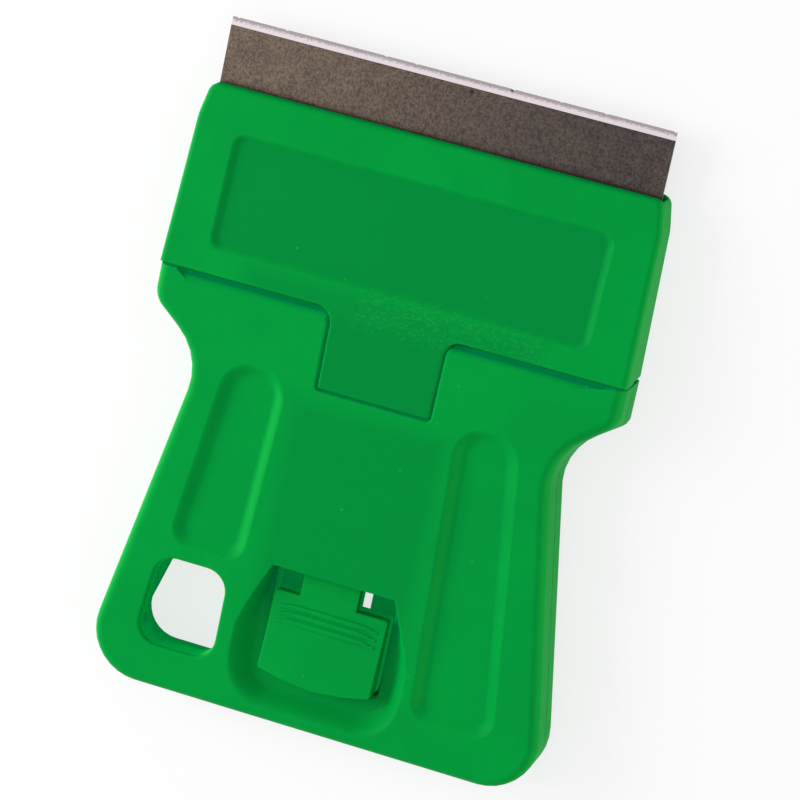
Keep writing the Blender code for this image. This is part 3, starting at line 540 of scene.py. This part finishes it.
# Moulded pieces: merged copies of the solids, with some edges rounded and walls moved

def makePlain(piece):
    # turns live modifiers into the piece's own mesh
    bpy.context.view_layer.update()
    evaluated = piece.evaluated_get(bpy.context.evaluated_depsgraph_get())
    mesh = bpy.data.meshes.new_from_object(evaluated)
    mesh.name = piece.name
    piece.modifiers.clear()
    piece.data = mesh


def cutterFrom(name, shape):
    bmesh.ops.recalc_face_normals(shape, faces=shape.faces)
    mesh = bpy.data.meshes.new(name)
    shape.to_mesh(mesh)
    shape.free()
    tool = bpy.data.objects.new(name, mesh)
    scene.collection.objects.link(tool)
    return tool


def boxCutter(name, low, high):
    shape = bmesh.new()
    bmesh.ops.create_cube(shape, size=1)
    for corner in shape.verts:
        corner.co = Vector([(low[axis] + high[axis]) / 2 + corner.co[axis] * (high[axis] - low[axis])
                            for axis in range(3)])
    return cutterFrom(name, shape)


rimSettings = {
    "topSlope": 0.95,
    "wallSlope": 0.4,
    "rimHeight": 5.3 * mm,
    "rimSteps": 4,
    "runOut": 0.3 * mm,
    "clear": 0.05 * mm,
    "leastMitre": 0.5,
    "markReach": 0.6 * mm,
    "weld": 0.002 * mm,
}


def findRims(shape, s):
    # the crisp front edges as chains of (start, end, plan direction out of the plastic)
    walls = {}
    for edge in shape.edges:
        tops = [face for face in edge.link_faces if face.normal.z > s["topSlope"]]
        sides = [face for face in edge.link_faces if abs(face.normal.z) < s["wallSlope"]]
        if tops and sides and edge.is_convex and min(end.co.z for end in edge.verts) > s["rimHeight"]:
            walls[edge] = sides[0].normal.to_2d().normalized()
    chains = []
    while walls:
        edge = next(iter(walls))
        chain = [(edge, edge.verts[0], edge.verts[1])]
        outs = {edge: walls.pop(edge)}
        for forward in (True, False):
            while True:
                tip = chain[-1][2] if forward else chain[0][1]
                follower = next((other for other in tip.link_edges if other in walls), None)
                if follower is None:
                    break
                outs[follower] = walls.pop(follower)
                far = follower.other_vert(tip)
                if forward:
                    chain.append((follower, tip, far))
                else:
                    chain.insert(0, (follower, far, tip))
        chains.append([(start.co.copy(), end.co.copy(), outs[edge]) for edge, start, end in chain])
    return chains


def rimCutter(name, chain, radius, s):
    # a bar along a chain of edges whose inner side is the hollow of a quarter round
    closed = (chain[0][0] - chain[-1][1]).length < s["weld"]
    places = [start for start, end, out in chain]
    outs = [out for start, end, out in chain]
    if not closed:
        places.append(chain[-1][1])
        outs.append(outs[-1])
        first = (places[0] - places[1]).normalized() * s["runOut"]
        last = (places[-1] - places[-2]).normalized() * s["runOut"]
        places[0] = places[0] + first
        places[-1] = places[-1] + last
    profile = []
    for step in range(s["rimSteps"] + 1):
        turn = math.pi / 2 * step / s["rimSteps"]
        profile.append((radius * (math.sin(turn) - 1), radius * (math.cos(turn) - 1)))
    profile += [(s["clear"], -radius), (s["clear"], s["runOut"]), (-radius, s["runOut"])]
    shape = bmesh.new()
    rings = []
    for index, place in enumerate(places):
        before = outs[index - 1] if closed or index else outs[0]
        mitre = (before + outs[index]).normalized()
        mitre = mitre / max(mitre.dot(outs[index]), s["leastMitre"])
        ring = [shape.verts.new((place.x + mitre.x * away, place.y + mitre.y * away, place.z + rise))
                for away, rise in profile]
        rings.append(ring)
    pairs = list(zip(rings, rings[1:]))
    if closed:
        pairs.append((rings[-1], rings[0]))
    for one, two in pairs:
        for index in range(len(profile)):
            following = (index + 1) % len(profile)
            shape.faces.new((one[index], one[following], two[following], two[index]))
    if not closed:
        shape.faces.new(rings[0])
        shape.faces.new(rings[-1])
    return cutterFrom(name, shape)


draftSettings = {
    "reach": 0.7 * mm,
    "foot": seamY - 12 * mm,
    "top": seamY - 4 * mm,
    "level": 5.2 * mm,
    "ray": 40 * mm,
    "lift": 0.01 * mm,
    "wallSlope": 0.5,
}


def draftSides(shape, s):
    # flares the outer walls below the seam towards the back, within the box of the solids
    tree = BVHTree.FromBMesh(shape)
    moves = {}
    for corner in shape.verts:
        place = corner.co
        walls = [face.normal.to_2d() for face in corner.link_faces if abs(face.normal.z) < s["wallSlope"]]
        walls = [wall for wall in walls if wall.y < s["wallSlope"]]
        side = Vector((math.copysign(1, place.x), 0, 0))
        covered = tree.ray_cast(place + side * s["lift"], side, s["ray"])[0] is not None
        if walls and not covered and s["foot"] < place.y <= seamY and place.z < s["level"]:
            reach = s["reach"] * min((place.y - s["foot"]) / (s["top"] - s["foot"]), 1)
            moves[corner] = sum(walls, Vector((0, 0))).normalized() * reach * (1 - place.z / s["level"])
    for corner, away in moves.items():
        corner.co.x = min(max(corner.co.x + away.x, cadBox[0][0]), cadBox[1][0])
        corner.co.y += away.y


holeWallSettings = {
    "left": -17 * mm,
    "right": -13 * mm,
    "low": -22.5 * mm,
    "high": -18 * mm,
    "end": -15.9 * mm,
    "level": 2.5 * mm,
    "lean": 1.0 * mm,
    "wallSlope": 0.5,
}


def leanHoleWall(shape, s):
    # the hanging hole's left wall leans to the right towards the back, most at its top
    for corner in shape.verts:
        place = corner.co
        walls = [face for face in corner.link_faces
                 if abs(face.normal.z) < s["wallSlope"] and face.normal.x > -s["wallSlope"]]
        inside = s["left"] < place.x < s["right"] and s["low"] < place.y < s["end"]
        if walls and inside and place.z < s["level"]:
            rise = min((place.y - s["low"]) / (s["high"] - s["low"]), 1)
            place.x += s["lean"] * rise * (1 - place.z / s["level"])


copySettings = {"weld": 0.002 * mm, "flat": math.radians(0.1), "sharp": math.radians(32)}


def carriedCopy(name, node, material, s, rims=(), cutters=(), changes=()):
    # the node's solid in whole faces, changed, with the rims at the marks rounded and the cutters
    # taken away, and shaded smooth between its crisp edges
    shape = bmesh.new()
    shape.from_mesh(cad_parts[node].data)
    bmesh.ops.remove_doubles(shape, verts=shape.verts, dist=s["weld"])
    bmesh.ops.dissolve_limit(shape, angle_limit=s["flat"], verts=shape.verts, edges=shape.edges)
    for change, settings in changes:
        change(shape, settings)
    tools = list(cutters)
    chains = findRims(shape, rimSettings) if rims else []
    for number, (mark, radius) in enumerate(rims):
        for chain in chains:
            away = min((start.to_2d() - Vector(mark)).length for start, end, out in chain)
            if away < rimSettings["markReach"]:
                tools.append(rimCutter(f"{name}Rim{number}", chain, radius, rimSettings))
    mesh = bpy.data.meshes.new(name)
    shape.to_mesh(mesh)
    shape.free()
    mesh.materials.append(material)
    piece = bpy.data.objects.new(name, mesh)
    scene.collection.objects.link(piece)
    for tool in tools:
        cut = piece.modifiers.new(tool.name, "BOOLEAN")
        cut.operation = "DIFFERENCE"
        cut.solver = "EXACT"
        cut.use_self = True
        cut.object = tool
    makePlain(piece)
    for tool in tools:
        bpy.data.objects.remove(tool)
    piece.data.shade_smooth()
    piece.data.set_sharp_from_angle(angle=s["sharp"])
    normals = piece.modifiers.new("evenShading", "WEIGHTED_NORMAL")
    normals.keep_sharp = True
    makePlain(piece)
    return piece


def fit(piece, body, slot, *nodes):
    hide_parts(*nodes)
    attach(piece, body)


# A rim is found by a mark on it and has a radius
frontShellSettings = {
    "rims": [((-5.22 * mm, 6.84 * mm), 0.2 * mm),  # the notch for the tongue
             ((-15.42 * mm, -24.18 * mm), 0.25 * mm)],  # the hanging hole
    "seamFinLow": (-18.55 * mm, seamY - 0.3 * mm, 5.25 * mm),  # a thin fin left along the seam
    "seamFinHigh": (19.05 * mm, seamY + 0.3 * mm, 5.9 * mm),
}
guardSettings = {"rims": [((19.99 * mm, seamY), 0.15 * mm)]}

finCutter = boxCutter("seamFin", frontShellSettings["seamFinLow"], frontShellSettings["seamFinHigh"])
frontShell = carriedCopy("handleFrontShell", "handle_front_shell", handlePlastic, copySettings,
                         frontShellSettings["rims"], [finCutter], [(draftSides, draftSettings)])
fit(frontShell, "handle", "handle", "handle_front_shell")

backShell = carriedCopy("handleBackShell", "handle_back_shell", handlePlastic, copySettings,
                        changes=[(draftSides, draftSettings), (leanHoleWall, holeWallSettings)])
fit(backShell, "handle", "handle", "handle_back_shell")

guard = carriedCopy("bladeGuard", "blade_guard", guardPlastic, copySettings, guardSettings["rims"])
fit(guard, "guard", "guard", "blade_guard")

latch = carriedCopy("releaseLatch", "release_latch", latchPlastic, copySettings)
fit(latch, "latch", "latch", "release_latch")

backing = carriedCopy("bladeBacking", "blade_backing", backingSteel, copySettings)
fit(backing, "handle", "backing", "blade_backing")
print("moulded pieces and backing ready")


# Pieces grown with Geometry Nodes

def startTree(name, inputs):
    tree = bpy.data.node_groups.new(name, "GeometryNodeTree")
    for label, kind in inputs.items():
        tree.interface.new_socket(label, in_out="INPUT", socket_type="NodeSocket" + kind)
    tree.interface.new_socket("Geometry", in_out="OUTPUT", socket_type="NodeSocketGeometry")
    return tree, addNode(tree, "NodeGroupInput").outputs


def endTree(tree, geometry, material):
    realized = addNode(tree, "GeometryNodeRealizeInstances", {"Geometry": geometry})
    finished = addNode(tree, "GeometryNodeSetMaterial", {"Geometry": realized, "Material": material})
    addNode(tree, "NodeGroupOutput", {"Geometry": finished})


def grow(name, tree, values):
    # runs the tree on an empty mesh and keeps the result as a plain mesh
    piece = bpy.data.objects.new(name, bpy.data.meshes.new(name))
    scene.collection.objects.link(piece)
    modifier = piece.modifiers.new(name, "NODES")
    modifier.node_group = tree
    for item in tree.interface.items_tree:
        if item.in_out == "INPUT":
            modifier[item.identifier] = values[item.name]
    makePlain(piece)
    return piece


# The blade: a fine grid whose rows crowd towards the cutting edge, thinned to the ground bevel, with
# a slightly ragged edge and a few nicks

bladeSettings = {
    "Width": bladeHigh.x - bladeLow.x,
    "Height": bladeHigh.y - bladeLow.y,
    "Thickness": bladeHigh.z - bladeLow.z,
    "Bevel": 0.73 * mm,
    "Land": 0.03 * mm,
    "Columns": 421,
    "Rows": 47,
    "Ragged Size": 0.25 * mm,
    "Ragged Depth": 0.05 * mm,
    "Nick Spacing": 5.5 * mm,
    "Nick Share": 0.035,
    "Nick Depth": 0.07 * mm,
    "Notch Width": 2.4 * mm,
    "Notch Depth": 1.8 * mm,
    "Notch Drop": 10.6 * mm,
    "Seed": 3.7,
    "Weld": 0.001 * mm,
}
bladeShading = {"sharp": math.radians(5)}


def bladeTree():
    labels = {label: "Float" for label in bladeSettings}
    labels.update({"Columns": "Int", "Rows": "Int", "Centre": "Vector", "Material": "Material"})
    tree, given = startTree("singleEdgeBlade", labels)
    size = addNode(tree, "ShaderNodeCombineXYZ", {0: given["Width"], 1: given["Height"],
                                                  2: given["Thickness"]})
    block = addNode(tree, "GeometryNodeMeshCube", {"Size": size, "Vertices X": given["Columns"],
                                                   "Vertices Y": given["Rows"], "Vertices Z": 2})
    place = addNode(tree, "GeometryNodeInputPosition")
    point = addNode(tree, "ShaderNodeSeparateXYZ", {0: place}).outputs

    # rows crowd towards the edge: the drop below it goes with the square of the row's share
    share = addNode(tree, "ShaderNodeMath", {0: point[1], 1: given["Height"]}, operation="DIVIDE")
    share = addNode(tree, "ShaderNodeMath", {0: 0.5, 1: share}, operation="SUBTRACT")
    square = addNode(tree, "ShaderNodeMath", {0: share, 1: share}, operation="MULTIPLY")
    drop = addNode(tree, "ShaderNodeMath", {0: square, 1: given["Height"]}, operation="MULTIPLY")
    ground = addNode(tree, "ShaderNodeMapRange", {"Value": drop, "From Max": given["Bevel"]})
    spare = addNode(tree, "ShaderNodeMath", {0: given["Thickness"], 1: given["Land"]}, operation="SUBTRACT")
    spare = addNode(tree, "ShaderNodeMath", {0: spare, 1: ground}, operation="MULTIPLY")
    thick = addNode(tree, "ShaderNodeMath", {0: given["Land"], 1: spare}, operation="ADD")
    side = addNode(tree, "ShaderNodeMath", {0: point[2]}, operation="SIGN")
    height = addNode(tree, "ShaderNodeMath", {0: side, 1: thick}, operation="MULTIPLY")
    height = addNode(tree, "ShaderNodeMath", {0: height, 1: 0.5}, operation="MULTIPLY")

    # ragged edge and nicks, deepest at the edge and gone where the bevel ends
    along = addNode(tree, "ShaderNodeMath", {0: point[0], 1: given["Seed"]}, operation="ADD")
    raggedScale = addNode(tree, "ShaderNodeMath", {0: 1.0, 1: given["Ragged Size"]}, operation="DIVIDE")
    ragged = addNode(tree, "ShaderNodeTexNoise", {"W": along, "Scale": raggedScale, "Detail": 3.0},
                     noise_dimensions="1D")
    ragged = addNode(tree, "ShaderNodeMath", {0: ragged, 1: given["Ragged Depth"]}, operation="MULTIPLY")
    nickScale = addNode(tree, "ShaderNodeMath", {0: 1.0, 1: given["Nick Spacing"]}, operation="DIVIDE")
    nick = addNode(tree, "ShaderNodeTexVoronoi", {"W": along, "Scale": nickScale}, voronoi_dimensions="1D")
    nick = addNode(tree, "ShaderNodeMapRange", easedShare(nick, (given["Nick Share"], 0.0)),
                   interpolation_type="SMOOTHSTEP")
    nick = addNode(tree, "ShaderNodeMath", {0: nick, 1: given["Nick Depth"]}, operation="MULTIPLY")
    depth = addNode(tree, "ShaderNodeMath", {0: ragged, 1: nick}, operation="ADD")
    near = addNode(tree, "ShaderNodeMath", {0: 1.0, 1: ground}, operation="SUBTRACT")
    depth = addNode(tree, "ShaderNodeMath", {0: depth, 1: near}, operation="MULTIPLY")
    drop = addNode(tree, "ShaderNodeMath", {0: drop, 1: depth}, operation="ADD")
    halfHeight = addNode(tree, "ShaderNodeMath", {0: given["Height"], 1: 0.5}, operation="MULTIPLY")
    up = addNode(tree, "ShaderNodeMath", {0: halfHeight, 1: drop}, operation="SUBTRACT")
    spot = addNode(tree, "ShaderNodeCombineXYZ", {0: point[0], 1: up, 2: height})
    body = addNode(tree, "GeometryNodeSetPosition", {"Geometry": block, "Position": spot})

    # the two notches that the nubs of the core stand in
    doubleDepth = addNode(tree, "ShaderNodeMath", {0: given["Notch Depth"], 1: 2.0}, operation="MULTIPLY")
    through = addNode(tree, "ShaderNodeMath", {0: given["Thickness"], 1: 4.0}, operation="MULTIPLY")
    size = addNode(tree, "ShaderNodeCombineXYZ", {0: doubleDepth, 1: given["Notch Width"], 2: through})
    notch = addNode(tree, "GeometryNodeMeshCube", {"Size": size})
    notchY = addNode(tree, "ShaderNodeMath", {0: halfHeight, 1: given["Notch Drop"]}, operation="SUBTRACT")
    for sign in (-0.5, 0.5):
        notchX = addNode(tree, "ShaderNodeMath", {0: given["Width"], 1: sign}, operation="MULTIPLY")
        spot = addNode(tree, "ShaderNodeCombineXYZ", {0: notchX, 1: notchY})
        placed = addNode(tree, "GeometryNodeTransform", {"Geometry": notch, "Translation": spot})
        body = addNode(tree, "GeometryNodeMeshBoolean", {"Mesh 1": body, "Mesh 2": placed},
                       operation="DIFFERENCE", solver="EXACT")
    merged = addNode(tree, "GeometryNodeMergeByDistance", {"Geometry": body, "Distance": given["Weld"]})
    moved = addNode(tree, "GeometryNodeTransform", {"Geometry": merged, "Translation": given["Centre"]})
    endTree(tree, moved, given["Material"])
    return tree


bladeValues = dict(bladeSettings, Centre=(bladeLow + bladeHigh) / 2, Material=bladeSteel)
blade = grow("singleEdgeBlade", bladeTree(), bladeValues)
blade.data.shade_smooth()
blade.data.set_sharp_from_angle(angle=bladeShading["sharp"])
fit(blade, "handle", "blade", "blade")
print("blade ready")


# Low soft ribs across the top of the press pad, in a row that follows its slope

ribSettings = {
    "Count": 3,
    "Pitch": 0.65 * mm,
    "Half Length": 3.95 * mm,
    "Width": 0.46 * mm,
    "Height": 0.07 * mm,
    "Squareness": 0.35,
    "First": (0, -18.28 * mm, 4.735 * mm),
    "Slope": 7.66,
}


def ribTree():
    labels = {label: "Float" for label in ribSettings}
    labels.update({"Count": "Int", "First": "Vector", "Material": "Material"})
    tree, given = startTree("padRibs", labels)
    ball = addNode(tree, "GeometryNodeMeshUVSphere", {"Segments": 40, "Rings": 16, "Radius": 1.0})
    place = addNode(tree, "GeometryNodeInputPosition")
    point = addNode(tree, "ShaderNodeSeparateXYZ", {0: place}).outputs

    # the ball is drawn out along X with squared ends
    away = addNode(tree, "ShaderNodeMath", {0: point[0]}, operation="ABSOLUTE")
    away = addNode(tree, "ShaderNodeMath", {0: away, 1: given["Squareness"]}, operation="POWER")
    side = addNode(tree, "ShaderNodeMath", {0: point[0]}, operation="SIGN")
    along = addNode(tree, "ShaderNodeMath", {0: side, 1: away}, operation="MULTIPLY")
    along = addNode(tree, "ShaderNodeMath", {0: along, 1: given["Half Length"]}, operation="MULTIPLY")
    across = addNode(tree, "ShaderNodeMath", {0: point[1], 1: 0.5}, operation="MULTIPLY")
    across = addNode(tree, "ShaderNodeMath", {0: across, 1: given["Width"]}, operation="MULTIPLY")
    rise = addNode(tree, "ShaderNodeMath", {0: point[2], 1: given["Height"]}, operation="MULTIPLY")
    spot = addNode(tree, "ShaderNodeCombineXYZ", {0: along, 1: across, 2: rise})
    bar = addNode(tree, "GeometryNodeSetPosition", {"Geometry": ball, "Position": spot})

    # the row goes down the pad, and each bar leans with its slope
    slope = addNode(tree, "ShaderNodeMath", {0: given["Slope"]}, operation="RADIANS")
    level = addNode(tree, "ShaderNodeMath", {0: slope}, operation="COSINE")
    back = addNode(tree, "ShaderNodeMath", {0: given["Pitch"], 1: -1.0}, operation="MULTIPLY")
    back = addNode(tree, "ShaderNodeMath", {0: back, 1: level}, operation="MULTIPLY")
    steep = addNode(tree, "ShaderNodeMath", {0: slope}, operation="SINE")
    up = addNode(tree, "ShaderNodeMath", {0: given["Pitch"], 1: steep}, operation="MULTIPLY")
    step = addNode(tree, "ShaderNodeCombineXYZ", {1: back, 2: up})
    row = addNode(tree, "GeometryNodeMeshLine", {"Count": given["Count"], "Start Location": given["First"],
                                                 "Offset": step})
    lean = addNode(tree, "ShaderNodeMath", {0: slope, 1: -1.0}, operation="MULTIPLY")
    lean = addNode(tree, "ShaderNodeCombineXYZ", {0: lean})
    bars = addNode(tree, "GeometryNodeInstanceOnPoints", {"Points": row, "Instance": bar, "Rotation": lean})
    endTree(tree, bars, given["Material"])
    return tree


ribs = grow("padRibs", ribTree(), dict(ribSettings, Material=latchPlastic))
ribs.data.shade_smooth()
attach(ribs, "latch")
print("pad ribs ready")
